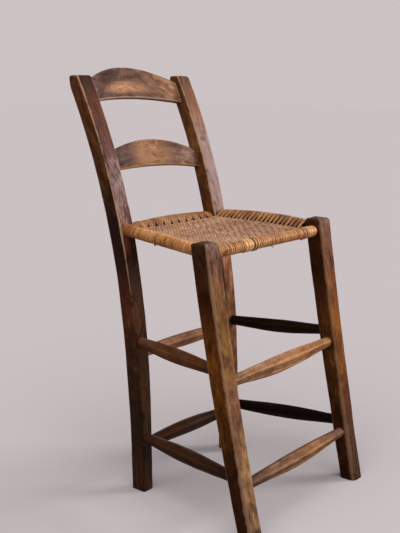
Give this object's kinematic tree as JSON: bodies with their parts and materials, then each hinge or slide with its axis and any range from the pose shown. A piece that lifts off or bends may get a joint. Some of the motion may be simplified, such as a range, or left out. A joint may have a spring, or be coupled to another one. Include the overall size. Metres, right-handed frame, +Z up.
{
  "type": "ladderback chair",
  "caption": "Tall rustic ladderback chair: swept back posts with an arched crest rail and back slat, spread front legs, hand-shaved stretchers and a dished woven cane seat.",
  "frame": {"origin": "on the floor, under the middle of the chair's bounding box", "axes": "+Z up, -Y towards the front of the chair, +X towards the right as seen from the front"},
  "size_m": [0.4837, 0.5655, 0.9629],
  "materials": {
    "upright_wood": "old hand-rubbed wax polish, dark brown with paler worn edges, soft sheen",
    "board_wood": "old wax polish, brown with golden worn patches, soft sheen",
    "rail_wood": "bare shaved wood, matt",
    "stretcher_wood": "old wax polish over shaved facets, worn paler on the front bars",
    "cane": "aged glossy cane strands, golden brown"
  },
  "bodies": {
    "root": {"back_post_left": "upright_wood", "back_post_right": "upright_wood", "front_leg_left": "upright_wood", "front_leg_right": "upright_wood", "crest_rail": "board_wood", "back_slat": "board_wood", "seat_rail_front": "rail_wood", "seat_rail_back": "rail_wood", "seat_rail_left": "rail_wood", "seat_rail_right": "rail_wood", "stretcher_front_upper": "stretcher_wood", "stretcher_front_lower": "stretcher_wood", "stretcher_back_upper": "stretcher_wood", "stretcher_back_lower": "stretcher_wood", "stretcher_left_upper": "stretcher_wood", "stretcher_left_lower": "stretcher_wood", "stretcher_right_upper": "stretcher_wood", "stretcher_right_lower": "stretcher_wood", "cane_wrap_front": "cane", "cane_wrap_back": "cane", "cane_wrap_left": "cane", "cane_wrap_right": "cane", "woven_seat": "cane"}
  },
  "joints": []
}
